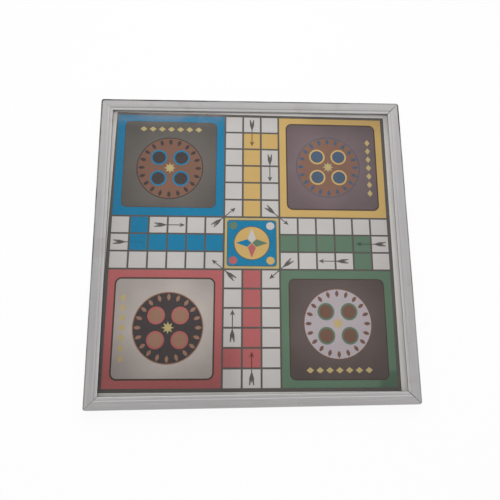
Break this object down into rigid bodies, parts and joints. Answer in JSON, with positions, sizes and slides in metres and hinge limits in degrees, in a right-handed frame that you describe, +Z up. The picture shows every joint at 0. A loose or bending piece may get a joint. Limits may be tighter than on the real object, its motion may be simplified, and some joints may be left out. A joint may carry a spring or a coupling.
{
  "type": "ludo board",
  "caption": "Square ludo board: a printed cross-shaped track lies under glass in a mitred aluminium frame, with a hardboard back and corner angles clamped in a slotted channel.",
  "frame": {"origin": "on the table under the middle of the board", "axes": "+Z up out of the glass; +X to the right and +Y away as seen by a player at the front edge, as in the picture"},
  "size_m": [0.4, 0.4, 0.0184],
  "materials": {
    "satin_aluminium": "satin extrusion",
    "clear_glass": "clear float glass",
    "printed_paper": "matt printed sheet",
    "hardboard": "bare brown hardboard",
    "zinc_steel": "zinc plated",
    "blackened_steel": "black oxide"
  },
  "bodies": {
    "root": {"rail_back": "satin_aluminium", "rail_left": "satin_aluminium", "rail_front": "satin_aluminium", "rail_right": "satin_aluminium", "glass_pane": "clear_glass", "printed_sheet": "printed_paper", "backing_board": "hardboard", "corner_angle_back_right": "zinc_steel", "corner_angle_back_left": "zinc_steel", "corner_angle_front_left": "zinc_steel", "corner_angle_front_right": "zinc_steel", "pressure_plate_back_right": "zinc_steel", "pressure_plate_back_left": "zinc_steel", "pressure_plate_front_left": "zinc_steel", "pressure_plate_front_right": "zinc_steel", "set_screw_back_right_1": "blackened_steel", "set_screw_back_right_2": "blackened_steel", "set_screw_back_left_1": "blackened_steel", "set_screw_back_left_2": "blackened_steel", "set_screw_front_left_1": "blackened_steel", "set_screw_front_left_2": "blackened_steel", "set_screw_front_right_1": "blackened_steel", "set_screw_front_right_2": "blackened_steel"}
  },
  "joints": []
}
